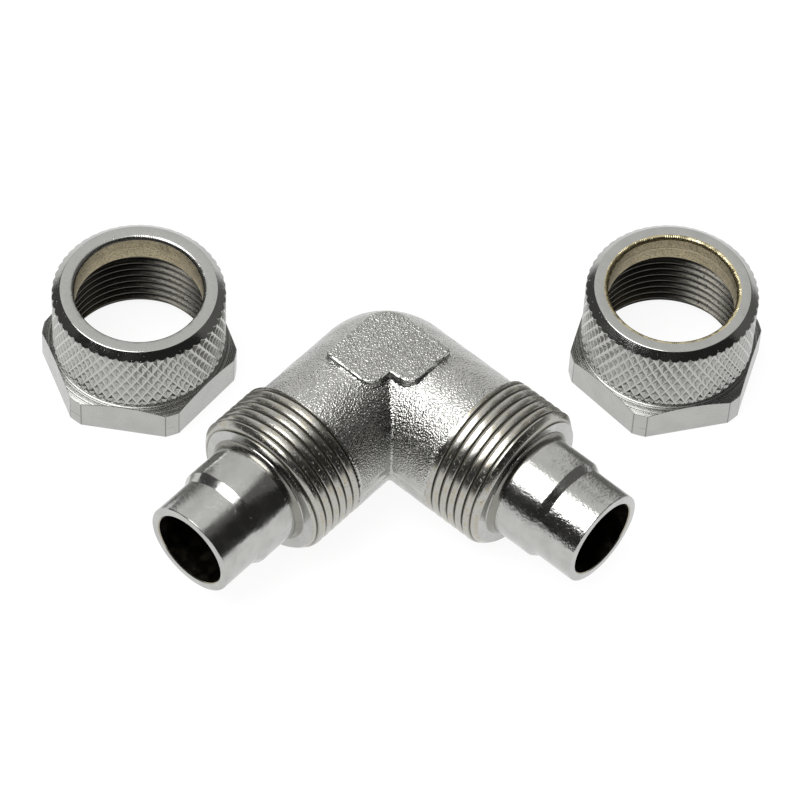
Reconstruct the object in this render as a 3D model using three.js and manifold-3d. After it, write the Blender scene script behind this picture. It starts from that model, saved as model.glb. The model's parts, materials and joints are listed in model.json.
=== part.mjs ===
// A 90 degree elbow union for 12 mm plastic tube with a 10 mm bore, in nickel plated brass.
// It comes apart into three pieces: the one-piece elbow body, and two union nuts that stand beside it
// on their hexagon faces. Lengths are in millimetres and +Z is up.
// The elbow's left arm points along -Y and its right arm along +X, and everything stands on Z = 0.
import * as THREE from "three";
import { mergeVertices } from "three/addons/utils/BufferGeometryUtils.js";
import Module from "manifold-3d";

const wasm = await Module();
wasm.setup();

const SEGMENTS = 36; // facets round the outside shapes
const BORE_SEGMENTS = 24;
const CUT_PAST = 1; // how far a cutting shape reaches past the face that it cuts

// The M16 x 1 thread, on the arms and inside the nuts.
const PITCH = 1;
const THREAD_CREST = 7.95; // radius over the arm's crests
const THREAD_DEPTH = 0.6;
const NUT_CREST = 7.45; // radius inside the nut's crests
const NUT_VALLEY = 8.05;
const CREST_FLAT = 0.16; // width of a crest along the axis
const VALLEY_FLAT = 0.24;

// One arm, measured outwards from the point where the two arm axes cross.
const ARM = {
  coreStart: 11,
  coreRadius: 6.5,
  threadStart: 12.6,
  crests: 6,
  faceAt: 19, // the flat shoulder at the thread's end
  shoulderRadius: 7.3, // where the end chamfer meets the shoulder
  neckRadius: 5.95, // the rounded neck between shoulder and nozzle
  neckEnd: 19.5,
  rootRadius: 5.6, // the nozzle's thick part, which spreads the tube
  rootEnd: 23.75,
  tipRadius: 5.1,
  tipStart: 24.6,
  length: 29.1,
  rimBevel: 0.15,
  boreRadius: 4.15,
};

// The forged corner between the arms.
const FORGING = {
  radius: 7.63,
  inset: 0.36, // how far its axes lie inside the bend from the thread axes
  bendRadius: 1, // radius of its centre line round the corner
};

// The flat pad on the top and bottom of the corner, seen in plan.
const PAD = {
  outer: 2.8, // from the thread axes to the edges on the outside of the bend
  inner: 6.3, // and to the edges on the inside
  lobe: 3.45,
  notch: 3.62,
  outerCorner: 3,
  sideCorner: 0.6,
  lobeCorner: 1.3,
  cornerSteps: 6,
};

const NUT = {
  height: 12.4,
  acrossFlats: 18.2,
  cornerRadius: 10.15, // the hexagon's corners are turned round
  cornerTop: 3.55, // height of the hexagon at its turned corners
  hexTop: 4.05,
  gripRadius: 8.9, // the knurled band
  gripTop: 11.65,
  faceRadius: 8.06, // outer edge of the flat top face
  holeRadius: 6.6, // the lip that grips the tube
  holeBevel: 0.3,
  lipBottom: 9.2,
  reliefBottom: 8.3, // thread relief under the lip
  leadIn: 0.5,
};

// Where each nut stands, from the crossing of the arm axes, and how far it is turned, in degrees.
const NUT_PLACES = {
  left_nut: { x: -23.74, y: -11.26, turn: 3 },
  right_nut: { x: 15.98, y: 26.15, turn: -35 },
};

const nickel = { color: 0xb9b7b0, metalness: 1, roughness: 0.3 };
const satinNickel = { color: 0xa8a69f, metalness: 1, roughness: 0.5 };

// A geometry as a closed solid. Triangles that shrink to a line at a lathe's axis are dropped.
function solid(geometry) {
  const bare = geometry.clone();
  bare.deleteAttribute("normal");
  bare.deleteAttribute("uv");
  const merged = mergeVertices(bare, 1e-4);
  const corners = merged.index.array;
  const kept = [];
  for (let i = 0; i < corners.length; i += 3) {
    const [a, b, c] = corners.subarray(i, i + 3);
    if (a !== b && b !== c && c !== a) kept.push(a, b, c);
  }
  return new wasm.Manifold(
    new wasm.Mesh({
      numProp: 3,
      vertProperties: merged.attributes.position.array,
      triVerts: new Uint32Array(kept),
    }),
  );
}

// A closed solid back as a geometry for a mesh.
function geometryOf(shape) {
  const { vertProperties, triVerts } = shape.getMesh();
  const geometry = new THREE.BufferGeometry();
  geometry.setAttribute("position", new THREE.BufferAttribute(vertProperties, 3));
  geometry.setIndex(new THREE.BufferAttribute(triVerts, 1));
  return geometry.toNonIndexed();
}

// A turned shape about +Z, from [radius, height] pairs listed upwards along its outside.
function turned(profile, segments = SEGMENTS) {
  const points = profile.map(([radius, height]) => new THREE.Vector2(radius, height));
  return new THREE.LatheGeometry(points, segments).rotateX(Math.PI / 2);
}

// A shape drawn about +Z, laid along an arm: "left" is -Y and "right" is +X.
function alongArm(geometry, side) {
  return side === "left" ? geometry.rotateX(Math.PI / 2) : geometry.rotateY(Math.PI / 2);
}

// The thread's outline from `start` upwards: `count` crests between a valley radius and a crest radius.
function threadOutline(start, count, valley, crest) {
  const flank = (PITCH - CREST_FLAT - VALLEY_FLAT) / 2;
  const points = [];
  for (let i = 0; i < count; i += 1) {
    const foot = start + i * PITCH;
    points.push([valley, foot], [crest, foot + flank]);
    points.push([crest, foot + flank + CREST_FLAT], [valley, foot + 2 * flank + CREST_FLAT]);
  }
  return points;
}

// One arm outside the forging: thread, shoulder, neck, nozzle root, step and tip.
function armOutside() {
  const { threadStart, crests, faceAt, length } = ARM;
  const valley = THREAD_CREST - THREAD_DEPTH;
  const lastValley = threadStart + crests * PITCH;
  const thread = threadOutline(threadStart, crests, valley, THREAD_CREST);
  return turned([
    [0, ARM.coreStart],
    [ARM.coreRadius, ARM.coreStart],
    [ARM.coreRadius, threadStart],
    ...thread,
    [valley, lastValley],
    [ARM.shoulderRadius, faceAt],
    [ARM.neckRadius, faceAt],
    [ARM.rootRadius, ARM.neckEnd],
    [ARM.rootRadius, ARM.rootEnd],
    [ARM.tipRadius, ARM.tipStart],
    [ARM.tipRadius, length - ARM.rimBevel],
    [ARM.tipRadius - ARM.rimBevel, length],
    [0, length],
  ]);
}

// The hole through one arm, drilled from the nozzle's end to just past the crossing.
function armBore() {
  const { boreRadius, length } = ARM;
  const end = length + CUT_PAST;
  return turned([[0, -boreRadius], [boreRadius, 0], [boreRadius, end], [0, end]], BORE_SEGMENTS);
}

// The forged corner: a quarter of a ring round the outside of the bend, and a round bar along each arm.
function forging() {
  const { radius, inset, bendRadius } = FORGING;
  const centre = inset + bendRadius;
  const reach = 2 * radius;

  const poleAngle = Math.acos(-bendRadius / radius);
  const steps = SEGMENTS / 2;
  const ringProfile = [];
  for (let i = 0; i <= steps; i += 1) {
    const angle = poleAngle * ((2 * i) / steps - 1);
    const onAxis = i === 0 || i === steps;
    ringProfile.push([onAxis ? 0 : bendRadius + radius * Math.cos(angle), radius * Math.sin(angle)]);
  }
  const ring = turned(ringProfile, 2 * SEGMENTS).translate(centre, -centre, 0);
  const quarter = new THREE.BoxGeometry(reach, reach, 3 * radius);
  quarter.translate(centre - reach / 2, reach / 2 - centre, 0);

  const barEnd = ARM.threadStart;
  const bar = () => turned([[0, centre], [radius, centre], [radius, barEnd], [0, barEnd]]);
  const leftBar = alongArm(bar(), "left").translate(inset, 0, 0);
  const rightBar = alongArm(bar(), "right").translate(0, -inset, 0);

  return solid(ring).intersect(solid(quarter)).add(solid(leftBar)).add(solid(rightBar));
}

// An outline from corners [x, y, radius], with each corner rounded by an arc.
function roundedOutline(corners) {
  const outline = [];
  corners.forEach(([x, y, radius], i) => {
    const [px, py] = corners[(i + corners.length - 1) % corners.length];
    const [nx, ny] = corners[(i + 1) % corners.length];
    const corner = new THREE.Vector2(x, y);
    const back = new THREE.Vector2(px - x, py - y).normalize();
    const ahead = new THREE.Vector2(nx - x, ny - y).normalize();
    const halfAngle = Math.acos(back.dot(ahead)) / 2;
    const middle = back.clone().add(ahead).normalize();
    const centre = corner.clone().addScaledVector(middle, radius / Math.sin(halfAngle));
    const start = corner.clone().addScaledVector(back, radius / Math.tan(halfAngle)).sub(centre);
    const sweep = (Math.PI - 2 * halfAngle) * Math.sign(ahead.cross(back));
    for (let step = 0; step <= PAD.cornerSteps; step += 1) {
      const turn = (sweep * step) / PAD.cornerSteps;
      outline.push(start.clone().rotateAround(new THREE.Vector2(), turn).add(centre));
    }
  });
  return outline;
}

// The pads, as one prism through the corner that stands proud at the top and at the bottom.
function pads() {
  const { outer, inner, lobe, notch, outerCorner, sideCorner, lobeCorner } = PAD;
  const notchCorner = 0.15;
  const outline = roundedOutline([
    [-outer, -inner, sideCorner],
    [lobe, -inner, lobeCorner],
    [notch, -notch, notchCorner],
    [inner, -lobe, lobeCorner],
    [inner, outer, sideCorner],
    [-outer, outer, outerCorner],
  ]);
  const prism = new THREE.ExtrudeGeometry(new THREE.Shape(outline), {
    depth: 2 * THREAD_CREST,
    bevelEnabled: false,
  });
  return prism.translate(0, 0, -THREAD_CREST);
}

function elbowBody() {
  let body = forging().add(solid(pads()));
  for (const side of ["left", "right"]) body = body.add(solid(alongArm(armOutside(), side)));
  for (const side of ["left", "right"]) body = body.subtract(solid(alongArm(armBore(), side)));
  return geometryOf(body).translate(0, 0, THREAD_CREST);
}

// A union nut standing on its hexagon: the turned ring, cut to a hexagon round its foot.
function unionNut() {
  const threadCount = 7;
  const flat = NUT.acrossFlats / 2;
  const nutThread = threadOutline(NUT.leadIn, threadCount, NUT_VALLEY, NUT_CREST).reverse();
  const ring = turned([
    [NUT_VALLEY, 0],
    [NUT.cornerRadius, 0],
    [NUT.cornerRadius, NUT.cornerTop],
    [flat, NUT.hexTop],
    [NUT.gripRadius, NUT.hexTop],
    [NUT.gripRadius, NUT.gripTop],
    [NUT.faceRadius, NUT.height],
    [NUT.holeRadius + NUT.holeBevel, NUT.height],
    [NUT.holeRadius, NUT.height - NUT.holeBevel],
    [NUT.holeRadius, NUT.lipBottom],
    [NUT_VALLEY, NUT.lipBottom],
    [NUT_VALLEY, NUT.reliefBottom],
    ...nutThread,
    [NUT_VALLEY, 0],
  ]);
  const hexagonCorner = flat / Math.cos(Math.PI / 6);
  const hexagonHeight = NUT.height + 2 * CUT_PAST;
  const hexagon = new THREE.CylinderGeometry(hexagonCorner, hexagonCorner, hexagonHeight, 6);
  hexagon.rotateX(Math.PI / 2).translate(0, 0, NUT.height / 2);
  return geometryOf(solid(ring).intersect(solid(hexagon)));
}

function part(name, geometry, finish) {
  const mesh = new THREE.Mesh(geometry, new THREE.MeshStandardMaterial(finish));
  mesh.name = name;
  return mesh;
}

const assembly = new THREE.Group();
assembly.add(part("elbow_body", elbowBody(), satinNickel));
for (const [name, { x, y, turn }] of Object.entries(NUT_PLACES)) {
  const nut = part(name, unionNut(), nickel);
  nut.position.set(x, y, 0);
  nut.rotation.z = THREE.MathUtils.degToRad(turn);
  assembly.add(nut);
}

// The part's origin is under the middle of the whole set.
const middle = new THREE.Box3().setFromObject(assembly, true).getCenter(new THREE.Vector3());
assembly.position.set(-middle.x, -middle.y, 0);

const fitting = new THREE.Group();
fitting.add(assembly);
export default fitting;
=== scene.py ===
"""The looks of an elbow union in nickel plated brass: a forged elbow body with two threaded arms,
and two knurled union nuts. Each of the three pieces is one closed mesh that stands for its CAD node.

Shapes are worked out in millimetres and scaled to metres at the end. The elbow is measured from the
point where its two arm axes cross, and a nut from the middle of its foot.
"""
import json
import math

import bmesh
import bpy
import numpy as np
import openvdb
from mathutils import Matrix, Vector


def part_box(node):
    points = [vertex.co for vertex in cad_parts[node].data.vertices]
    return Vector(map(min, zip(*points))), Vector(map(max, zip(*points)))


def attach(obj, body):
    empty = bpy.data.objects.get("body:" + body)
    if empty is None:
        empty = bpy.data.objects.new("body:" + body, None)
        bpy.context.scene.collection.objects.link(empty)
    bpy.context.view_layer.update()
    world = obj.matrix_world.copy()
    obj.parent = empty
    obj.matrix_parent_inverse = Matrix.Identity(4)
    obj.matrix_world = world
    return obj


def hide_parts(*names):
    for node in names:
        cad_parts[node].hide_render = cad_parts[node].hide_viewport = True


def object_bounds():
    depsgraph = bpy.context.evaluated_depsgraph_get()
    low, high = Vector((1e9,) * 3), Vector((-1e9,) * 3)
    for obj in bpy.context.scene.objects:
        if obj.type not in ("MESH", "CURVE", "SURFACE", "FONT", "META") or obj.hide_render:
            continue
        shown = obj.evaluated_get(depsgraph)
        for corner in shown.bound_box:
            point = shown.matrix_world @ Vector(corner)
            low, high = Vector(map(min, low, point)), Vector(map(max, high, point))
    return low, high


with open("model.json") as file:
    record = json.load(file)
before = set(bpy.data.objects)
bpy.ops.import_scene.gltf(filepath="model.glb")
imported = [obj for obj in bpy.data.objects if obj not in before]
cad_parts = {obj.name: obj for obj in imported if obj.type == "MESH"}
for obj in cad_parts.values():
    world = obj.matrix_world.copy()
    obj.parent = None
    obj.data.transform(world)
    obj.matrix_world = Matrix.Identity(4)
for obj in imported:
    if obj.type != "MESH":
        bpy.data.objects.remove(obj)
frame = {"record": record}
cad_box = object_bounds()

MM = 0.001
TURN = 2 * math.pi
HEX_SIDE = TURN / 6
FAR = 1e3       # beyond anything here
OVERCUT = 1.0   # how far a cutting shape reaches past what it cuts
TOUCH = 0.01    # how near a surface counts as on it
FLUSH = 0.001   # how near a face counts as level with another
EDGE = 0.06     # half the width of a broken edge

# The thread on the arms and in the nuts: M16 x 1, right-handed.
PITCH = 1.0
THREAD_CREST = 7.95
THREAD_VALLEY = 7.62
NUT_CREST = 7.45
NUT_VALLEY = 8.05
# One turn of it: how far along the turn, and how high from valley (0) to crest (1). The arms' threads are
# rolled, so their crests are wide with a bevel on the corner's side, and the grooves are narrow.
ROLLED_FORM = [
    (0.03, 0.0), (0.09, 0.60), (0.13, 0.74), (0.27, 1.0), (0.36, 0.99),
    (0.60, 0.90), (0.80, 0.74), (0.86, 0.58), (0.96, 0.0),
]
CUT_FORM = [
    (0.10, 0.0), (0.16, 0.12), (0.41, 0.92), (0.46, 1.0),
    (0.54, 1.0), (0.59, 0.92), (0.84, 0.12), (0.90, 0.0),
]

# One arm, by distance from the crossing. It starts inside the forging, as a core.
CORE_START = 11.0
CORE_RADIUS = 6.6
LAND_START = 12.3
LAND_RADIUS = 7.62
THREAD_START = 12.5
CHAMFER_START = 18.2
SHOULDER_AT = 19.0
SHOULDER_RADIUS = 7.3
CHAMFER_SLOPE = (THREAD_CREST - SHOULDER_RADIUS) / (SHOULDER_AT - CHAMFER_START)
RING_RADIUS = 6.1
RING_PROUD = 0.08
RING_AT = SHOULDER_AT + RING_PROUD
NECK_FILLET = 0.7
ROOT_RADIUS = 5.6
ROOT_END = 23.75
TIP_START = 24.6
TIP_RADIUS = 5.1
ARM_LENGTH = 29.1
RIM_BEVEL = 0.15
BORE_RADIUS = 4.15
MOUTH_BEVEL = 0.1

# The forged corner. Its bars lie a little to the inside of the arms' axes.
FORGE_RADIUS = 7.63
FORGE_INSET = 0.36
BEND_RADIUS = 1.0
CREASE_FILLET = 0.3
SKIN_WAVE = 0.018
PARTING_WIDTH = 0.42
PARTING_PROUD = 0.05
TURNED_BAND = 12.3
TURNED_UNDER = 0.02
VOXEL = 0.17

# The pads on its top and underneath, seen in plan, with the radius of each kind of corner.
PAD_OUTER = 2.8
PAD_INNER = 6.3
PAD_LOBE = 3.45
PAD_NOTCH = 3.62
OUTER_CORNER = 3.0
SIDE_CORNER = 0.6
LOBE_CORNER = 1.65
NOTCH_CORNER = 0.05
PAD_FILLET = 0.22
PAD_EDGE = 0.22
PAD_WAVE = 0.03
PAD_WAVE_RATE = 3

# A union nut, by height above its foot.
NUT_HEIGHT = 12.4
NUT_FLAT = 9.1
NUT_CORNER = 10.11
HALF_FLAT = math.acos(NUT_FLAT / NUT_CORNER)
CORNER_TOP = 3.55
HEX_TOP = 4.05
HEX_SLOPE = (HEX_TOP - CORNER_TOP) / (NUT_CORNER - NUT_FLAT)
CORNER_SCORE_AT = 1.45
NECK_TOP = 4.45
NECK_DEPTH = 0.25
GRIP_RADIUS = 8.9
GRIP_TOP = 11.65
FACE_RADIUS = 8.06
FACE_TILT = math.atan2(NUT_HEIGHT - GRIP_TOP, GRIP_RADIUS - FACE_RADIUS)
FACE_EDGE = 0.18
HOLE_RADIUS = 6.6
HOLE_BEVEL = 0.45
BEVEL_DROP = 0.4
BEVEL_TEETH = 210
LIP_SCORE_AT = 10.75
LIP_BOTTOM = 9.2
RELIEF_BOTTOM = 8.3
THREAD_FOOT = 0.2
LEAD_IN = 0.1
FOOT_BEVEL = 0.12

# Its knurl: diamonds round the grip, and mesh cells in half of one.
KNURLS = 53
KNURL_CELLS = 5
KNURL_DEPTH = 0.28
KNURL_TRIM = 0.032
KNURL_LEAN = 0.03
KNURL_JITTER = 0.012
KNURL_HALF_HEIGHT = 0.95
KNURL_BELOW = 0.6
KNURL_ABOVE = 0.4

# Columns of the turned meshes, how near doubled points are, and the angle of a sharp edge in degrees.
THREAD_COLUMNS = 144
BORE_COLUMNS = 72
DRUM_COLUMNS = 96
NUT_COLUMNS = 180
DOUBLED = 1e-4
SHARP_ANGLE = 20


def box_mm(node):
    """The lowest and highest corners of a CAD node, in millimetres."""
    return [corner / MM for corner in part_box(node)]


elbow_low, elbow_high = box_mm("elbow_body")
CROSSING = Vector((
    elbow_high.x - ARM_LENGTH,
    elbow_low.y + ARM_LENGTH,
    (elbow_low.z + elbow_high.z) / 2,
))


# ---------------------------------------------------------------- meshes

def mesh_object(name, points, faces):
    """A mesh object from points and faces, with doubled points joined."""
    mesh = bpy.data.meshes.new(name)
    mesh.from_pydata(np.asarray(points).tolist(), [], faces)
    work = bmesh.new()
    work.from_mesh(mesh)
    bmesh.ops.remove_doubles(work, verts=work.verts, dist=DOUBLED)
    bmesh.ops.recalc_face_normals(work, faces=work.faces)
    work.to_mesh(mesh)
    work.free()
    obj = bpy.data.objects.new(name, mesh)
    bpy.context.scene.collection.objects.link(obj)
    return obj


def combine(target, tool, operation):
    """Joins, cuts or intersects target with tool, and removes tool."""
    modifier = target.modifiers.new("combine", "BOOLEAN")
    modifier.solver = "MANIFOLD"
    modifier.operation = operation
    modifier.object = tool
    depsgraph = bpy.context.evaluated_depsgraph_get()
    mesh = bpy.data.meshes.new_from_object(target.evaluated_get(depsgraph))
    target.modifiers.clear()
    target.data = mesh
    bpy.data.objects.remove(tool)
    if not mesh.polygons:
        raise RuntimeError(f"{operation} on {target.name} left nothing")
    return target


def evenly(columns):
    """Angles of that many columns round a turn."""
    return [TURN * column / columns for column in range(columns)]


def same(row):
    """The row that a row meets in the next column, except at a thread's seam."""
    return row


def revolved(name, section_of, angles, at_seam=same):
    """A closed surface about +Z. section_of gives a column of (radius, height) rows for an angle, and
    at_seam the row of the first column that a row of the last column meets."""
    points = []
    for angle in angles:
        radius, height = np.asarray(section_of(angle), float).T
        points.append(np.column_stack([radius * math.cos(angle), radius * math.sin(angle), height]))
    rows = len(points[0])
    last = len(angles) - 1
    faces = []
    for column in range(len(angles)):
        here = column * rows
        ahead = (column + 1) * rows if column < last else 0
        meet = same if column < last else at_seam
        for row in range(rows - 1):
            faces.append((here + row, ahead + meet(row), ahead + meet(row + 1), here + row + 1))
    return mesh_object(name, np.vstack(points), faces)


def round_solid(name, section, columns):
    """A solid about +Z whose section is the same all round."""
    return revolved(name, lambda angle: section, evenly(columns))


def arc(radius_at, height_at, radius, start, end, steps):
    """(radius, height) points on an arc of a section, angles in degrees from straight outwards."""
    angles = np.radians(np.linspace(start, end, steps + 1))
    return [(radius_at + radius * math.cos(a), height_at + radius * math.sin(a)) for a in angles]


def threaded(name, form, before, after, start, end, valley, crest, limit):
    """A turned shape about +Z with a helical thread from start to end, between the (radius, height) rows
    listed before and after it. limit trims the thread's radius at a height."""
    turns = math.ceil((end - start) / PITCH)
    places, rises = zip(*form)
    phases = np.array([turn + place for turn in range(-2, turns + 1) for place in places])
    first = len(before)
    final = first + len(phases) - 1

    def section_of(angle):
        height = np.clip(start + (phases + angle / TURN) * PITCH, start, end)
        rise = np.interp((height - start) / PITCH - angle / TURN, places, rises, period=1)
        radius = limit(valley + (crest - valley) * rise, height)
        return np.vstack([before, np.column_stack([radius, height]), after])

    def at_seam(row):
        return min(row + len(form), final) if first <= row <= final else row

    return revolved(name, section_of, evenly(THREAD_COLUMNS), at_seam)


# ---------------------------------------------------------------- the elbow body

def along_arm(obj, side):
    """Lays a shape about +Z along the left arm (-Y) or the right arm (+X)."""
    obj.data.transform(Matrix.Rotation(math.pi / 2, 4, "X" if side == "left" else "Y"))
    return obj


def arm_mesh():
    """A threaded arm with its stepped nozzle about +Z, solid."""
    before = [
        (0, CORE_START),
        (CORE_RADIUS, CORE_START),
        (CORE_RADIUS, LAND_START),
        (LAND_RADIUS - EDGE, LAND_START),
        (LAND_RADIUS, LAND_START + EDGE),
        (LAND_RADIUS, THREAD_START - EDGE),
    ]
    after = [
        (SHOULDER_RADIUS - (THREAD_CREST - THREAD_VALLEY) - EDGE, SHOULDER_AT),
        (RING_RADIUS + EDGE / 2, SHOULDER_AT),
        (RING_RADIUS, RING_AT),
        *arc(ROOT_RADIUS + NECK_FILLET, RING_AT + NECK_FILLET, NECK_FILLET, 240, 180, steps=8),
        (ROOT_RADIUS, ROOT_END - EDGE),
        (ROOT_RADIUS - EDGE / 2, ROOT_END + EDGE),
        (TIP_RADIUS + EDGE / 2, TIP_START - EDGE),
        (TIP_RADIUS, TIP_START + EDGE),
        *arc(TIP_RADIUS - RIM_BEVEL, ARM_LENGTH - RIM_BEVEL, RIM_BEVEL, 0, 90, steps=4),
        (0, ARM_LENGTH),
    ]

    def limit(radius, height):
        return radius - CHAMFER_SLOPE * np.maximum(height - CHAMFER_START, 0)

    return threaded(
        "arm", ROLLED_FORM, before, after,
        THREAD_START, SHOULDER_AT, THREAD_VALLEY, THREAD_CREST, limit)


def bore_mesh():
    """What is cut from an arm, from beyond the crossing to the bevel at its mouth."""
    section = [
        (0, -BORE_RADIUS),
        (BORE_RADIUS, -BORE_RADIUS),
        (BORE_RADIUS, ARM_LENGTH - MOUTH_BEVEL),
        (BORE_RADIUS + MOUTH_BEVEL + OVERCUT, ARM_LENGTH + OVERCUT),
        (0, ARM_LENGTH + OVERCUT),
    ]
    return round_solid("bore", section, BORE_COLUMNS)


def smooth_min(a, b, radius):
    """The smaller of two distances, with a fillet where they are alike."""
    blend = np.clip(0.5 + 0.5 * (b - a) / radius, 0, 1)
    return b + (a - b) * blend - radius * blend * (1 - blend)


def polygon_distance(x, y, corners):
    """Signed distance to a polygon in the plane, negative inside."""
    nearest = FAR
    inside = False
    for (ax, ay), (bx, by) in zip(corners, corners[1:] + corners[:1]):
        ex, ey = bx - ax, by - ay
        along = np.clip(((x - ax) * ex + (y - ay) * ey) / (ex * ex + ey * ey), 0, 1)
        nearest = np.minimum(nearest, np.hypot(x - ax - along * ex, y - ay - along * ey))
        if ay != by:
            inside = inside ^ (((ay > y) != (by > y)) & (x < ax + (y - ay) * ex / ey))
    return np.where(inside, -nearest, nearest)


def rounded_outline(corners, steps=6):
    """An outline from (x, y, radius) corners, each rounded by an arc."""
    outline = []
    for i, (x, y, radius) in enumerate(corners):
        corner = Vector((x, y))
        back = (Vector(corners[i - 1][:2]) - corner).normalized()
        ahead = (Vector(corners[(i + 1) % len(corners)][:2]) - corner).normalized()
        half = back.angle(ahead) / 2
        centre = corner + (back + ahead).normalized() * (radius / math.sin(half))
        start = corner + back * (radius / math.tan(half)) - centre
        sweep = math.copysign(math.pi - 2 * half, -back.cross(ahead))
        for step in range(steps + 1):
            angle = sweep * step / steps
            spun = Vector((
                start.x * math.cos(angle) - start.y * math.sin(angle),
                start.x * math.sin(angle) + start.y * math.cos(angle),
            ))
            outline.append(tuple(centre + spun))
    return outline


PAD_OUTLINE = rounded_outline([
    (-PAD_OUTER, -PAD_INNER, SIDE_CORNER),
    (PAD_LOBE, -PAD_INNER, LOBE_CORNER),
    (PAD_NOTCH, -PAD_NOTCH, NOTCH_CORNER),
    (PAD_INNER, -PAD_LOBE, LOBE_CORNER),
    (PAD_INNER, PAD_OUTER, SIDE_CORNER),
    (-PAD_OUTER, PAD_OUTER, OUTER_CORNER),
])


def waviness(x, y, z):
    """Slow unevenness of a forged skin: waves a few millimetres long that don't repeat together."""
    first = np.sin(0.9 * x + 1.3 * z + 0.4) * np.sin(1.1 * y - 0.7 * z + 2.0)
    return first + 0.6 * np.sin(2.1 * x - 1.7 * y + 0.8 * z)


def bars_distance(x, y, z):
    """Signed distance to the forged bars. Their centre lines run along each arm, with a quarter circle
    between them round the outside of the bend."""
    centre = FORGE_INSET + BEND_RADIUS
    left = np.where(y > -centre, FAR, np.hypot(x - FORGE_INSET, z))
    right = np.where(x < centre, FAR, np.hypot(y + FORGE_INSET, z))
    bend = np.hypot(np.hypot(x - centre, y + centre) - BEND_RADIUS, z)
    straight = smooth_min(left, right, CREASE_FILLET)
    axis = np.where((x < centre) & (y > -centre), bend, straight)
    parting = PARTING_PROUD * np.exp(-((z / PARTING_WIDTH) ** 4))
    return axis - FORGE_RADIUS - parting - SKIN_WAVE * waviness(x, y, z)


def pads_distance(x, y, z):
    """Signed distance to the prism that makes both pads, with its edges rounded."""
    waves = PAD_WAVE * waviness(PAD_WAVE_RATE * x, PAD_WAVE_RATE * y, z)
    side = polygon_distance(x, y, PAD_OUTLINE) + PAD_EDGE - waves
    lid = np.abs(z) - THREAD_CREST + PAD_EDGE
    past = np.hypot(np.maximum(side, 0), np.maximum(lid, 0))
    return past + np.minimum(np.maximum(side, lid), 0) - PAD_EDGE


def forging_distance(x, y, z):
    """Signed distance to the forged corner, from the crossing of the arm axes."""
    body = smooth_min(bars_distance(x, y, z), pads_distance(x, y, z), PAD_FILLET)

    # The last of each arm is turned down to just under the thread's crests, and ends square.
    for along, across in ((x, y), (-y, x)):
        turned_down = np.hypot(across, z) - THREAD_CREST + TURNED_UNDER
        body = np.where(along > TURNED_BAND, np.maximum(body, turned_down), body)
    return np.maximum(body, np.maximum(x, -y) - THREAD_START)


def forging_mesh():
    """The forged corner as a mesh of its level set, with each point moved on to the exact surface."""
    margin = 5 * VOXEL
    reach = FORGE_RADIUS + margin
    end = THREAD_START + margin
    low = np.array([-reach, -end, -reach])
    high = np.array([end, reach, reach])
    axes = [np.arange(a, b, VOXEL) for a, b in zip(low, high)]
    values = forging_distance(*np.meshgrid(*axes, indexing="ij", sparse=True))
    grid = openvdb.FloatGrid()
    grid.copyFromArray(values.astype(np.float32))
    points, quads = grid.convertToQuads(isovalue=0)
    points = points * VOXEL + low
    nudge = 1e-3
    least_slope = 0.5
    for _ in range(3):
        here = forging_distance(*points.T)
        slope = np.column_stack([
            forging_distance(*(points + offset).T) - here for offset in np.eye(3) * nudge
        ]) / nudge
        size = np.maximum((slope ** 2).sum(1), least_slope)
        points = points - slope * np.clip(here / size, -VOXEL / 2, VOXEL / 2)[:, None]
    return mesh_object("elbow", points, quads.tolist())


def elbow_mesh():
    """The forging joined to both arms, and then bored."""
    body = forging_mesh()
    for part_mesh, operation in ((arm_mesh, "UNION"), (bore_mesh, "DIFFERENCE")):
        for side in ("left", "right"):
            combine(body, along_arm(part_mesh(), side), operation)
    return body


# ---------------------------------------------------------------- the nuts

def nut_turn(node):
    """How far a nut stands turned on the table, from the mount on one of its flats. The record rounds
    the flat's direction, which is good to a hundredth of a degree."""
    [flat] = [mount for mount in frame["record"]["mounts"] if mount["name"] == node + "_flat"]
    across, ahead, _ = flat["axis"]
    return math.radians(round(math.degrees(math.atan2(ahead, across)), 2))


def nut_envelope():
    """The nut's outside without its knurl or its hole: the turned shape, cut to a hexagon whose corners
    are turned round. Columns stand exactly on the ends of the flats."""
    ends = [flat * HEX_SIDE + side * HALF_FLAT for flat in range(6) for side in (-1, 1)]
    angles = sorted({round(angle % TURN, 6) for angle in evenly(NUT_COLUMNS) + ends})
    neck = GRIP_RADIUS - NECK_DEPTH
    neck_foot = CORNER_TOP + (NUT_CORNER - neck) * HEX_SLOPE

    # The rounded edge between the grip's chamfer and the top face.
    edge_at = FACE_RADIUS - FACE_EDGE * math.tan(FACE_TILT / 2)
    edge_start = 90 - math.degrees(FACE_TILT)
    face_edge = arc(edge_at, NUT_HEIGHT - FACE_EDGE, FACE_EDGE, edge_start, 90, steps=6)

    def section_of(angle):
        from_flat = (angle + HEX_SIDE / 2) % HEX_SIDE - HEX_SIDE / 2
        radius = min(NUT_FLAT / math.cos(from_flat), NUT_CORNER)
        top = CORNER_TOP + (NUT_CORNER - radius) * HEX_SLOPE
        return [
            (0, 0),
            (radius - FOOT_BEVEL, 0),
            (radius, FOOT_BEVEL),
            (radius, top - EDGE / 2),
            (radius - EDGE / 2, top + EDGE / 2 * HEX_SLOPE),
            (neck + EDGE, neck_foot - EDGE * HEX_SLOPE),
            (neck, neck_foot + EDGE),
            (neck, NECK_TOP - EDGE),
            (GRIP_RADIUS, NECK_TOP + EDGE),
            (GRIP_RADIUS, GRIP_TOP),
            *face_edge,
            (0, NUT_HEIGHT),
        ]

    return revolved("nut", section_of, angles)


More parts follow.
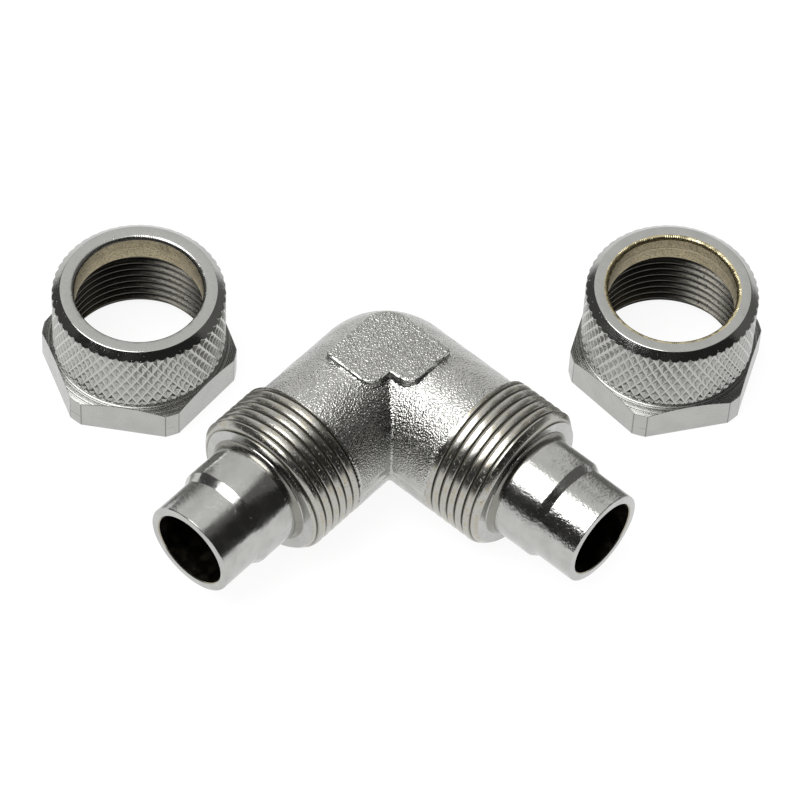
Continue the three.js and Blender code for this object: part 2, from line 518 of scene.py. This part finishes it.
def knurl_mesh():
    """A knurled bar: raised lines that cross on two hands, with a four-sided pit in each diamond. Every line
    and every pit's centre line runs along diagonals of the mesh, so the facets are crisp."""
    period = 2 * KNURL_CELLS
    columns = KNURLS * period
    low = NECK_TOP - KNURL_BELOW
    cell = KNURL_HALF_HEIGHT / KNURL_CELLS
    rows = math.ceil((NUT_HEIGHT + KNURL_ABOVE - low) / cell) + 1
    column, row = np.meshgrid(np.arange(columns), np.arange(rows), indexing="ij")
    first, second = (column - row) % period, (column + row) % period
    near = np.minimum(np.minimum(first, period - first), np.minimum(second, period - second))
    angle = TURN * column / columns

    # The flat tops of the lines come from trimming to the grip's radius. The wheel pressed unevenly, and
    # each point is a little off, by a hash of its column and row.
    depth = KNURL_DEPTH + KNURL_TRIM + KNURL_LEAN * np.sin(2 * angle + 0.7)
    jitter = KNURL_JITTER * np.sin(12.9898 * column) * np.sin(78.233 * row + 3.1 * column)
    radius = GRIP_RADIUS + KNURL_TRIM - depth * near / KNURL_CELLS + jitter
    height = low + row * cell
    points = np.stack([radius * np.cos(angle), radius * np.sin(angle), height], -1).reshape(-1, 3)
    bottom, top = len(points), len(points) + 1
    points = np.vstack([points, [(0, 0, low), (0, 0, height.max())]])
    faces = []
    for i in range(columns):
        here, ahead = i * rows, (i + 1) % columns * rows
        for j in range(rows - 1):
            a, b = here + j, ahead + j
            if (i + j + 1) % KNURL_CELLS == 0:
                faces += [(a, b, a + 1), (b, b + 1, a + 1)]
            else:
                faces += [(a, b, b + 1), (a, b + 1, a + 1)]
        faces += [(ahead, here, bottom), (here + rows - 1, ahead + rows - 1, top)]
    return mesh_object("grip", points, faces)


def nut_cavity():
    """What is cut from a nut: the lead-in, the thread, its relief, and the lip's hole with its bevel."""
    lead = NUT_VALLEY + LEAD_IN
    bevel = [
        (HOLE_RADIUS + HOLE_BEVEL * (1 - math.sin(a)), NUT_HEIGHT - BEVEL_DROP * (1 - math.cos(a)))
        for a in np.radians(np.linspace(90, 0, num=7))
    ]
    before = [(0, -OVERCUT), (lead + OVERCUT, -OVERCUT)]
    after = [
        (NUT_VALLEY, RELIEF_BOTTOM),
        (NUT_VALLEY, LIP_BOTTOM - EDGE),
        (NUT_VALLEY - EDGE, LIP_BOTTOM),
        (HOLE_RADIUS + EDGE, LIP_BOTTOM),
        (HOLE_RADIUS, LIP_BOTTOM + EDGE),
        *bevel,
        (HOLE_RADIUS + HOLE_BEVEL, NUT_HEIGHT + OVERCUT),
        (0, NUT_HEIGHT + OVERCUT),
    ]

    def limit(radius, height):
        return np.maximum(radius, lead - height)

    return threaded(
        "cavity", CUT_FORM, before, after,
        THREAD_FOOT - OVERCUT, RELIEF_BOTTOM, NUT_VALLEY, NUT_CREST, limit)


def drum_mesh():
    """A plain drum, wider than the hexagon, up to the foot of the grip."""
    radius = NUT_CORNER + 2 * OVERCUT
    top = NECK_TOP - EDGE / 2
    section = [(0, -OVERCUT), (radius, -OVERCUT), (radius, top), (0, top)]
    return round_solid("drum", section, DRUM_COLUMNS)


def nut_mesh():
    """The envelope, kept where the knurled bar or the drum is, with the cavity cut out of it."""
    grip = combine(knurl_mesh(), drum_mesh(), "UNION")
    nut = combine(nut_envelope(), grip, "INTERSECT")
    return combine(nut, nut_cavity(), "DIFFERENCE")


# ---------------------------------------------------------------- materials

# Base colours, in linear red, green and blue.
NICKEL = (0.43, 0.43, 0.415)
NOZZLE_NICKEL = (0.46, 0.46, 0.445)
# Painted shade: the arms' neck fillet gets a much darker nickel for the shade in that hollow.
NECK_SHADE_NICKEL = (0.25, 0.245, 0.22)
# Painted shade: the nuts' shoulder is a darker copy of the nickel, to dim the softbox's reflection on it.
SHOULDER_SHADE_NICKEL = (0.30, 0.30, 0.288)
KNURL_NICKEL = (0.405, 0.405, 0.39)
SKIN_NICKEL = (0.46, 0.46, 0.44)
PAD_NICKEL = (0.365, 0.365, 0.35)
PAD_EDGE_NICKEL = (0.48, 0.48, 0.46)
# Painted shade: the arms' thread grooves are coloured dark for the shade in them.
ARM_GROOVE_SHADE = (0.20, 0.19, 0.155)
ARM_CREST = (0.43, 0.422, 0.395)
WORN_TINT = (0.95, 0.88, 0.72)
# Painted shade: the nuts' inner threads are coloured near black, crests too, for the shade inside the nut.
NUT_GROOVE_SHADE = (0.012, 0.012, 0.011)
NUT_RIDGE_SHADE = (0.10, 0.096, 0.085)
MOUTH_BRASS = (0.36, 0.335, 0.27)
LIP_BRASS = (0.62, 0.54, 0.36)
BEVEL_BRASS = (0.56, 0.49, 0.30)
SPECK = (0.25, 0.24, 0.2)
SCORE = (0.10, 0.10, 0.09)
SCRIBED = (0.10, 0.095, 0.085)
# Painted shade: the bore is coloured near black for the shade deep inside it.
BORE_SHADE_BLACK = (0.020, 0.018, 0.014)
BORE_STAIN = (0.06, 0.052, 0.04)


def scaled(colour, factor):
    return tuple(factor * channel for channel in colour)


class Shader:
    """A metal's node tree. Places and sizes are in millimetres of the piece's own frame."""

    def __init__(self, name):
        self.material = bpy.data.materials.new(name)
        self.material.use_nodes = True
        self.tree = self.material.node_tree
        self.tree.nodes.clear()
        output = self.add("ShaderNodeOutputMaterial")
        self.surface = self.add("ShaderNodeBsdfPrincipled")
        self.link(self.surface.outputs["BSDF"], output.inputs["Surface"])
        self.surface.inputs["Metallic"].default_value = 1.0
        in_metres = self.add("ShaderNodeTexCoord").outputs["Object"]
        in_mm = self.add("ShaderNodeVectorMath", operation="SCALE")
        in_mm.inputs["Scale"].default_value = 1 / MM
        self.link(in_metres, in_mm.inputs[0])
        self.place = in_mm.outputs["Vector"]

    def add(self, kind, **settings):
        node = self.tree.nodes.new(kind)
        for key, value in settings.items():
            setattr(node, key, value)
        return node

    def link(self, source, target):
        """Feeds a socket from another socket, or sets it to a plain value."""
        if isinstance(source, bpy.types.NodeSocket):
            self.tree.links.new(source, target)
        else:
            target.default_value = source

    def math(self, operation, a, b=0.0):
        node = self.add("ShaderNodeMath", operation=operation)
        self.link(a, node.inputs[0])
        self.link(b, node.inputs[1])
        return node.outputs[0]

    def gap(self, a, b):
        """How far two values are apart."""
        return self.math("ABSOLUTE", self.math("SUBTRACT", a, b))

    def ramp(self, value, low, high, start=0.0, end=1.0, smooth=True):
        """value from low..high to start..end, held at the ends."""
        node = self.add("ShaderNodeMapRange", clamp=True)
        node.interpolation_type = "SMOOTHSTEP" if smooth else "LINEAR"
        for key, number in zip(("From Min", "From Max", "To Min", "To Max"), (low, high, start, end)):
            node.inputs[key].default_value = number
        self.link(value, node.inputs["Value"])
        return node.outputs[0]

    def spread(self, noise, start=0.0, end=1.0):
        """Noise from the range that it mostly keeps to, to start..end."""
        return self.ramp(noise, 0.3, 0.7, start, end)

    def noise(self, size, detail=2.0, roughness=0.5, place=None):
        """Noise about `size` millimetres across."""
        node = self.add("ShaderNodeTexNoise")
        node.inputs["Scale"].default_value = 1 / size
        node.inputs["Detail"].default_value = detail
        node.inputs["Roughness"].default_value = roughness
        self.link(place or self.place, node.inputs["Vector"])
        return node.outputs["Fac"]

    def cells(self, size):
        """Soft-edged pits about `size` millimetres across."""
        node = self.add("ShaderNodeTexVoronoi", feature="SMOOTH_F1")
        node.inputs["Scale"].default_value = 1 / size
        self.link(self.place, node.inputs["Vector"])
        return node.outputs["Distance"]

    def split(self):
        """The place's x, y and z."""
        node = self.add("ShaderNodeSeparateXYZ")
        self.link(self.place, node.inputs[0])
        return node.outputs

    def join(self, x, y, z):
        node = self.add("ShaderNodeCombineXYZ")
        for source, target in zip((x, y, z), node.inputs):
            self.link(source, target)
        return node.outputs[0]

    def length(self, x, y, z):
        node = self.add("ShaderNodeVectorMath", operation="LENGTH")
        self.link(self.join(x, y, z), node.inputs[0])
        return node.outputs["Value"]

    def blend(self, kind, factor, a, b):
        """A value between a (factor 0) and b (factor 1)."""
        node = self.add("ShaderNodeMix", data_type=kind)
        self.link(factor, node.inputs["Factor"])
        self.link(a, node.inputs["A"])
        self.link(b, node.inputs["B"])
        return node.outputs["Result"]

    def mix(self, factor, a, b):
        """A colour between a (factor 0) and b (factor 1)."""
        ends = [(*colour, 1.0) if isinstance(colour, tuple) else colour for colour in (a, b)]
        return self.blend("RGBA", factor, *ends)

    def bump(self, height, depth, under=None):
        """A bump whose height of 1 stands `depth` millimetres."""
        node = self.add("ShaderNodeBump")
        node.inputs["Strength"].default_value = 1.0
        node.inputs["Distance"].default_value = depth * MM
        self.link(height, node.inputs["Height"])
        if under is not None:
            self.link(under, node.inputs["Normal"])
        return node.outputs["Normal"]

    def finish(self, colour, roughness, normal):
        self.link(colour, self.surface.inputs["Base Color"])
        self.link(roughness, self.surface.inputs["Roughness"])
        self.link(normal, self.surface.inputs["Normal"])
        return self.material


def turned_place(s, part):
    """Distances from the axis and along it, of a nut or of the elbow's nearer arm."""
    x, y, z = s.split()
    if part == "nut":
        return s.length(x, y, 0.0), z
    on_right = s.math("GREATER_THAN", s.math("ADD", x, y), 0.0)
    radius = s.blend("FLOAT", on_right, s.length(x, 0.0, z), s.length(0.0, y, z))
    return radius, s.math("MAXIMUM", x, s.math("MULTIPLY", y, -1.0))


def forged_skin(name, base, depth):
    """Blasted and plated forging: a sparkling grain `depth` millimetres deep, rubbed smooth along the
    trimmed parting line."""
    s = Shader(name)
    grain = s.math("MULTIPLY", s.noise(size=0.15, detail=1.0), 0.6)
    pits = s.math("MULTIPLY", s.cells(size=0.18), 0.9)
    fine = s.math("MULTIPLY", s.noise(size=0.08, detail=0.0), 0.2)
    height = s.math("ADD", s.math("ADD", grain, pits), fine)
    from_parting = s.gap(s.split()["Z"], s.spread(s.noise(size=2.2), 0.25, -0.25))
    normal = s.bump(s.math("MULTIPLY", height, s.ramp(from_parting, 0.45, 0.9)), depth)
    patches = s.ramp(s.noise(size=3.0, detail=3.0), 0.35, 0.65)
    colour = s.mix(patches, base, scaled(base, 0.9))
    return s.finish(colour, s.spread(s.noise(size=1.1), 0.13, 0.19), normal)


def turned(name, part, base, roughness, lines=0.004, mottle=0.005, mottle_size=0.25, scores=0.0):
    """Turned and plated brass: fine rings from the tool and orange peel, with their depths in millimetres,
    specks, and darker scored rings of a strength from 0 to 1."""
    s = Shader(name)
    radius, along = turned_place(s, part)
    rings = s.noise(size=0.09, place=s.join(radius, along, 0.0))
    peel = s.noise(mottle_size, roughness=0.6)
    specks = s.ramp(s.noise(size=0.3, detail=3.0, roughness=0.7), 0.67, 0.77)
    normal = s.bump(rings, lines)
    normal = s.bump(peel, mottle, under=normal)
    normal = s.bump(specks, depth=0.02, under=normal)
    dull = s.ramp(s.noise(size=1.8, detail=3.0), 0.35, 0.7)
    colour = s.mix(s.math("MULTIPLY", dull, 0.6), base, scaled(base, 0.82))
    colour = s.mix(s.math("MULTIPLY", specks, 0.35), colour, SPECK)
    colour = s.mix(s.ramp(rings, 0.43, 0.52, scores, 0.0), colour, SCORE)
    wear = s.math("ADD", s.noise(size=0.25), s.math("MULTIPLY", dull, 0.5))
    rough = s.ramp(wear, 0.3, 1.1, 0.8 * roughness, 1.5 * roughness)
    return s.finish(colour, rough, normal)


def thread_metal(name, part, valley, crest, groove, bright, roughness):
    """Crests over grooves whose darker colour is painted shade, with a little brass worn through at the
    edges of the crests.
    """
    s = Shader(name)
    radius, along = turned_place(s, part)
    if part == "elbow":
        # The crests' height is judged as if the chamfer hadn't lowered them.
        past = s.math("MAXIMUM", s.math("SUBTRACT", along, CHAMFER_START), 0.0)
        radius = s.math("ADD", radius, s.math("MULTIPLY", past, CHAMFER_SLOPE))
    rise = s.ramp(radius, valley, crest, smooth=False)
    # Painted shade: the colour darkens from the crests down into the grooves.
    colour = s.mix(s.ramp(rise, 0.1, 0.7), groove, bright)
    worn = s.math("MULTIPLY", s.ramp(rise, 0.70, 0.90), s.ramp(rise, 0.93, 0.99, 1.0, 0.0))
    worn = s.math("MULTIPLY", worn, s.ramp(s.noise(size=0.9, detail=3.0), 0.40, 0.7))
    colour = s.mix(worn, colour, tuple(c * tint for c, tint in zip(bright, WORN_TINT)))
    rings = s.noise(size=0.05, detail=1.0, place=s.join(radius, along, 0.0))
    nicks = s.ramp(s.noise(size=0.2, detail=3.0, roughness=0.65), 0.6, 0.75)
    normal = s.bump(rings, depth=0.006)
    normal = s.bump(nicks, depth=0.025, under=normal)
    return s.finish(colour, s.ramp(rise, 0.2, 0.8, 1.6 * roughness, roughness), normal)


def knurl_metal(name, base):
    """Pressed diamonds: the lines' flat tops coloured lighter, over pits of a darker, uneven tone."""
    s = Shader(name)
    radius, _ = turned_place(s, "nut")
    line = s.ramp(radius, GRIP_RADIUS - 0.06, GRIP_RADIUS - 0.015)
    grain = s.noise(size=0.14)
    pit = s.mix(s.spread(grain), scaled(base, 0.8), base)
    colour = s.mix(line, pit, scaled(base, 1.15))
    return s.finish(colour, s.spread(grain, 0.18, 0.28), s.bump(grain, depth=0.012))


def hexagon_metal(name, base, turn):
    """Satin flats. A fine line marks each edge of the turned corners, and a scored line crosses them."""
    s = Shader(name)
    x, y, z = s.split()
    grain = s.noise(size=0.35)
    slow = s.noise(size=2.2)
    angle = s.math("ADD", s.math("ARCTAN2", y, x), TURN + HEX_SIDE / 2 - turn)
    from_flat = s.gap(s.math("MODULO", angle, HEX_SIDE), HEX_SIDE / 2)
    edge = s.ramp(s.gap(from_flat, HALF_FLAT), 0.003, 0.009, 1.0, 0.0)
    score = s.ramp(s.gap(z, CORNER_SCORE_AT), 0.02, 0.06, 1.0, 0.0)
    score = s.math("MULTIPLY", score, s.math("GREATER_THAN", from_flat, HALF_FLAT))
    score = s.math("MULTIPLY", score, s.ramp(slow, 0.4, 0.55, 0.3, 1.0))
    line = s.math("MAXIMUM", edge, score)
    normal = s.bump(grain, depth=0.003)
    normal = s.bump(slow, depth=0.016, under=normal)
    colour = s.mix(s.ramp(slow, 0.35, 0.65), base, scaled(base, 0.93))
    colour = s.mix(s.math("MULTIPLY", line, 0.65), colour, SCRIBED)
    return s.finish(colour, s.spread(grain, 0.24, 0.33), normal)


def lip_metal(name, base, lines, score):
    """The bare, bead-blasted inside of the lip, with turned lines of a depth in millimetres and a scored
    ring of a strength from 0 to 1."""
    s = Shader(name)
    z = s.split()["Z"]
    grain = s.noise(size=0.22, detail=3.0, roughness=0.7)
    stains = s.ramp(s.noise(size=1.6, detail=3.0), 0.35, 0.7)
    rings = s.noise(size=0.16, place=s.join(0.0, z, 0.0))
    normal = s.bump(grain, depth=0.03)
    normal = s.bump(rings, lines, under=normal)
    colour = s.mix(stains, base, scaled(base, 0.8))
    # Painted shade: the grain's low points, its pits, are darkened for the shade in them.
    colour = s.mix(s.ramp(grain, 0.40, 0.52, 0.95, 0.0), colour, scaled(base, 0.4))
    ring = s.ramp(s.gap(z, LIP_SCORE_AT), 0.04, 0.12, score, 0.0)
    ring = s.math("MULTIPLY", ring, s.ramp(stains, 0.0, 1.0, 0.5, 1.0))
    normal = s.bump(ring, depth=0.06, under=normal)
    colour = s.mix(s.math("MULTIPLY", ring, 0.5), colour, scaled(base, 1.5))
    return s.finish(colour, s.spread(grain, 0.42, 0.55), normal)


def bevel_metal(name, base, chatter):
    """The lip's bevel: tool chatter that stands like the teeth of a fine comb, by its depth."""
    s = Shader(name)
    x, y, _ = s.split()
    comb = s.math("SINE", s.math("MULTIPLY", s.math("ARCTAN2", y, x), BEVEL_TEETH))
    uneven = s.noise(size=0.7, detail=3.0)
    normal = s.bump(s.math("MULTIPLY", comb, s.ramp(uneven, 0.4, 0.62)), chatter)
    colour = s.mix(s.ramp(uneven, 0.35, 0.65), base, scaled(base, 0.8))
    return s.finish(colour, s.spread(uneven, 0.18, 0.3), normal)


def dark_bore(name):
    """The unplated bore, painted near black for the shade deep inside it, with uneven stains."""
    s = Shader(name)
    stains = s.noise(size=1.2, detail=4.0)
    colour = s.mix(s.ramp(stains, 0.4, 0.7), BORE_SHADE_BLACK, BORE_STAIN)
    return s.finish(colour, s.spread(stains, 0.35, 0.5), s.bump(s.noise(size=0.2), depth=0.02))


# ---------------------------------------------------------------- the pieces

def face_table(obj):
    """Each face's centre and normal."""
    count = len(obj.data.polygons)
    centre, normal = np.empty(count * 3), np.empty(count * 3)
    obj.data.polygons.foreach_get("center", centre)
    obj.data.polygons.foreach_get("normal", normal)
    return centre.reshape(-1, 3), normal.reshape(-1, 3)


EVERYWHERE = slice(None)


def dress(obj, looks):
    """Gives each face the last of the looks, (material, faces), that it belongs to. Only real edges stay
    sharp."""
    choice = np.zeros(len(obj.data.polygons), np.int32)
    obj.data.materials.clear()
    for number, (material, faces) in enumerate(looks):
        obj.data.materials.append(material)
        choice[faces] = number
    obj.data.polygons.foreach_set("material_index", choice)
    obj.data.polygons.foreach_set("use_smooth", np.ones(len(choice), bool))
    obj.data.update()
    obj.data.set_sharp_from_angle(angle=math.radians(SHARP_ANGLE))


def place_piece(obj, name, body, node, location, turn=0.0):
    """Sets a finished mesh down where its CAD node is, in metres, and makes it stand for that node."""
    obj.name = name
    obj.data.name = name
    obj.data.transform(Matrix.Rotation(turn, 4, "Z") @ Matrix.Scale(MM, 4))
    obj.location = location * MM
    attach(obj, body)
    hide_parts(node)


def elbow_piece():
    """The elbow body, with each face's finish chosen by where it lies along and round its nearer arm."""
    obj = elbow_mesh()
    centre, normal = face_table(obj)
    x, y, z = centre.T
    on_right = x + y > 0
    along = np.maximum(x, -y)
    radius = np.where(on_right, np.hypot(y, z), np.hypot(x, z))
    bore_radius = np.minimum(np.hypot(y, z) + FAR * (x < 0), np.hypot(x, z) + FAR * (y > 0))

    machined = (along > TURNED_BAND) & (radius < THREAD_CREST + TOUCH)
    thread = machined & (along > THREAD_START - TOUCH) & (along < SHOULDER_AT - 2 * TOUCH)
    neck = machined & (along > RING_AT + TOUCH) & (along < RING_AT + NECK_FILLET)
    bore = bore_radius < BORE_RADIUS + TOUCH
    mouth = (along > ARM_LENGTH - MOUTH_BEVEL) & (radius < BORE_RADIUS + MOUTH_BEVEL)
    in_outline = polygon_distance(x, y, PAD_OUTLINE) < 5 * TOUCH
    pad = in_outline & (np.abs(z) > THREAD_CREST - PAD_EDGE)
    sloping = np.abs(normal[:, 2]) < 0.98

    dress(obj, [
        (forged_skin("forged_skin", SKIN_NICKEL, depth=0.08), EVERYWHERE),
        (turned("left_nozzle", "elbow", NOZZLE_NICKEL, roughness=0.15, mottle=0.01, mottle_size=0.35),
         machined),
        (turned("right_nozzle", "elbow", NOZZLE_NICKEL, roughness=0.15, mottle=0.03, mottle_size=0.3),
         machined & on_right),
        # The arms' threads, with painted shade in their grooves.
        (thread_metal("thread_nickel", "elbow", THREAD_VALLEY, THREAD_CREST, ARM_GROOVE_SHADE, ARM_CREST,
                      roughness=0.22), thread),
        # The neck fillet: painted shade, a darker nickel for the shade between ring and root.
        (turned("neck_painted_shade", "elbow", NECK_SHADE_NICKEL, roughness=0.22, lines=0.012), neck),
        # The bore: painted shade, near black.
        (dark_bore("bore_dark"), bore),
        (turned("mouth_brass", "elbow", MOUTH_BRASS, roughness=0.2), mouth),
        (forged_skin("forged_pad", PAD_NICKEL, depth=0.085), pad),
        (forged_skin("forged_edge", PAD_EDGE_NICKEL, depth=0.02), pad & sloping),
    ])
    place_piece(obj, "elbow_forging", "elbow", "elbow_body", CROSSING)


def nut_piece(node, bevel_base, chatter, lip_lines, lip_score):
    """A nut. Its bevel's colour and chatter, and its lip's lines and score, are its own."""
    turn = nut_turn(node)
    obj = nut_mesh()
    centre, normal = face_table(obj)
    x, y, z = centre.T
    radius = np.hypot(x, y)
    above = z > NECK_TOP
    hole_edge = HOLE_RADIUS + HOLE_BEVEL
    in_lip = z > LIP_BOTTOM - 2 * TOUCH
    at_top = z > NUT_HEIGHT - FLUSH
    facing_up = normal[:, 2] > 0.2
    facing_in = (x * normal[:, 0] + y * normal[:, 1]) / radius < -0.3

    shoulder = ~above & facing_up & (z > CORNER_TOP - EDGE)
    on_cone = normal[:, 2] > math.cos(FACE_TILT) - TOUCH
    chamfer = on_cone & (z > GRIP_TOP) & (radius > hole_edge)
    inside = radius < NUT_VALLEY + LEAD_IN + 2 * TOUCH
    bevel = (z > NUT_HEIGHT - BEVEL_DROP + FLUSH) & ~at_top & (radius < hole_edge)

    dress(obj, [
        (hexagon_metal(node + "_hexagon", NICKEL, turn), EVERYWHERE),
        # The shoulder: painted shade, a darker nickel that dims the softbox's reflection, with real scored
        # tool rings.
        (turned(node + "_shoulder_painted_shade", "nut", SHOULDER_SHADE_NICKEL, roughness=0.22, lines=0.05, scores=0.85),
         shoulder),
        (knurl_metal(node + "_knurl", KNURL_NICKEL), above & (radius > FACE_RADIUS)),
        (turned(node + "_chamfer", "nut", NICKEL, roughness=0.12, lines=0.006, mottle=0.003), chamfer),
        (turned(node + "_face", "nut", NICKEL, roughness=0.28, lines=0.006, mottle=0.006), at_top),
        # The inner thread: painted shade, near black for the shade inside the nut.
        (thread_metal(node + "_thread", "nut", NUT_VALLEY, NUT_CREST, NUT_GROOVE_SHADE, NUT_RIDGE_SHADE,
                      roughness=0.2), inside & ~in_lip),
        (lip_metal(node + "_lip", LIP_BRASS, lip_lines, lip_score), inside & facing_in & in_lip),
        (bevel_metal(node + "_bevel", bevel_base, chatter), bevel),
    ])
    low, high = box_mm(node)
    middle = (low + high) / 2
    spot = Vector((middle.x, middle.y, low.z))
    place_piece(obj, node + "_knurled", node, node, spot, turn)


elbow_piece()
nut_piece("left_nut", NICKEL, chatter=0.005, lip_lines=0.01, lip_score=0.2)
nut_piece("right_nut", BEVEL_BRASS, chatter=0.02, lip_lines=0.03, lip_score=1.0)


# ---------------------------------------------------------------- studio and camera

# Where the camera stands, and how far it is from what it looks at, in millimetres. That point lies a
# little to the right of the crossing, and below it, as the camera sees it.
VIEW_AZIMUTH = math.radians(38.85)
VIEW_ELEVATION = math.radians(53.60)
VIEW_ROLL = math.radians(3.53)
VIEW_DISTANCE = 511.9
AIM_RIGHT = 1.68
AIM_DOWN = 2.11
SENSOR_WIDTH = 36.0
LENS = 226.35
CLIP_START = 0.01
CLIP_END = 20.0

# The room and the floor, in metres.
WHITE = (1.0, 1.0, 1.0)
WORLD_TINT = (1.0, 1.0, 0.985)
WORLD_LIGHT = 0.92
FLOOR_GLOW = 0.90
FLOOR_BASE = 0.12
FLOOR_ROUGHNESS = 0.9
FLOOR_REACH = 4.0
FLOOR_GAP = 0.02 * MM

# The softbox: its direction as the camera sees it, its distance and diameter in metres, and its radiance.
KEY_ACROSS = -0.37
KEY_AHEAD = -0.12
KEY_DISTANCE = 1.1
KEY_DIAMETER = 0.92
KEY_RADIANCE = 5.0

# Dark curved cards round the part: the tilts to the camera's right and the arcs from the far horizon,
# over the top, to the near one, each as (first, last, count) in degrees, and how bright the card is.
CARD_DISTANCE = 1.5
CARD_TINT = (1.0, 0.985, 0.96)
CARDS = {
    "dark_far_right": ((26, 90, 8), (0, 50, 6), 0.17),
    "dark_right": ((18, 90, 9), (50, 102, 6), 0.17),
    "dark_far_left": ((-90, -33, 7), (0, 56, 6), 0.09),
    "dark_left": ((-90, -26, 8), (56, 112, 6), 0.09),
    "dark_front": ((-90, 2, 12), (112, 180, 9), 0.03),
    "dark_front_right": ((2, 90, 10), (102, 180, 9), 0.03),
}


def seen(across, ahead, up):
    """A direction given as the camera sees it: to its right, away from it and up."""
    return Vector((
        across * math.cos(VIEW_AZIMUTH) - ahead * math.sin(VIEW_AZIMUTH),
        across * math.sin(VIEW_AZIMUTH) + ahead * math.cos(VIEW_AZIMUTH),
        up,
    ))


def stage_object(name, points, faces, material):
    mesh = bpy.data.meshes.new(name)
    mesh.from_pydata([tuple(point) for point in points], [], faces)
    mesh.materials.append(material)
    obj = bpy.data.objects.new(name, mesh)
    bpy.context.scene.collection.objects.link(obj)
    return obj


def floor():
    """A white table that glows a little, as a light table does, so that shadows on it stay faint."""
    material = bpy.data.materials.new("floor_white")
    material.use_nodes = True
    surface = material.node_tree.nodes["Principled BSDF"]
    surface.inputs["Base Color"].default_value = (*scaled(WHITE, FLOOR_BASE), 1)
    surface.inputs["Roughness"].default_value = FLOOR_ROUGHNESS
    surface.inputs["Specular IOR Level"].default_value = 0.0
    surface.inputs["Emission Color"].default_value = (*WHITE, 1)
    surface.inputs["Emission Strength"].default_value = FLOOR_GLOW
    reach = FLOOR_REACH
    corners = [(-reach, -reach, 0), (reach, -reach, 0), (reach, reach, 0), (-reach, reach, 0)]
    table = stage_object("floor", corners, [(0, 1, 2, 3)], material)
    table.location.z = cad_box[0][2] - FLOOR_GAP


def softbox():
    """A round area light over the part, facing it."""
    light = bpy.data.lights.new("key", "AREA")
    light.shape = "DISK"
    light.size = KEY_DIAMETER
    area = math.pi * KEY_DIAMETER ** 2 / 4
    light.energy = KEY_RADIANCE * math.pi * area
    obj = bpy.data.objects.new("key", light)
    back = seen(KEY_ACROSS, KEY_AHEAD, math.sqrt(1 - KEY_ACROSS ** 2 - KEY_AHEAD ** 2))
    obj.rotation_euler = back.to_track_quat("Z", "Y").to_euler()
    obj.location = back * KEY_DISTANCE
    obj.visible_camera = False
    bpy.context.scene.collection.objects.link(obj)


def glow_material(name, level):
    """A card's faint even light."""
    material = bpy.data.materials.new(name)
    material.use_nodes = True
    nodes = material.node_tree.nodes
    nodes.clear()
    glow = nodes.new("ShaderNodeEmission")
    glow.inputs["Color"].default_value = (*scaled(CARD_TINT, level), 1)
    output = nodes.new("ShaderNodeOutputMaterial")
    material.node_tree.links.new(glow.outputs[0], output.inputs["Surface"])
    return material


def dark_card(name, tilts, arcs, level):
    """A dark curved card, seen only in reflections."""
    points = []
    for tilt in np.radians(np.linspace(*tilts)):
        for way in np.radians(np.linspace(*arcs)):
            ahead, up = math.cos(tilt) * math.cos(way), math.cos(tilt) * math.sin(way)
            points.append(seen(math.sin(tilt), ahead, up) * CARD_DISTANCE)
    rows, columns = tilts[-1], arcs[-1]
    faces = []
    for row in range(rows - 1):
        for column in range(columns - 1):
            a = row * columns + column
            faces.append((a, a + 1, a + columns + 1, a + columns))
    card = stage_object(name, points, faces, glow_material(name, level))
    card.visible_camera = False
    card.visible_diffuse = False
    card.visible_shadow = False


def studio():
    """A pale room beyond the table, dark to the sides and behind the camera, and a softbox at the
    camera's upper left."""
    world = bpy.data.worlds.new("studio")
    world.use_nodes = True
    bpy.context.scene.world = world
    background = world.node_tree.nodes["Background"]
    background.inputs["Color"].default_value = (*scaled(WORLD_TINT, WORLD_LIGHT), 1)
    bpy.context.scene.view_settings.view_transform = "Standard"
    floor()
    softbox()
    for name, (tilts, arcs, level) in CARDS.items():
        dark_card(name, tilts, arcs, level)


def camera():
    """A long lens above the part, on the side that its arms open to."""
    level_right = seen(1, 0, 0)
    back = seen(0, -math.cos(VIEW_ELEVATION), math.sin(VIEW_ELEVATION))
    level_up = back.cross(level_right)
    right = level_right * math.cos(VIEW_ROLL) + level_up * math.sin(VIEW_ROLL)
    up = level_up * math.cos(VIEW_ROLL) - level_right * math.sin(VIEW_ROLL)
    aim = CROSSING + level_right * AIM_RIGHT - level_up * AIM_DOWN
    data = bpy.data.cameras.new("camera")
    data.sensor_width = SENSOR_WIDTH
    data.lens = LENS
    data.clip_start = CLIP_START
    data.clip_end = CLIP_END
    obj = bpy.data.objects.new("camera", data)
    turn = Matrix((right, up, back)).transposed().to_4x4()
    obj.matrix_world = Matrix.Translation((aim + back * VIEW_DISTANCE) * MM) @ turn
    bpy.context.scene.collection.objects.link(obj)
    bpy.context.scene.camera = obj


studio()
camera()
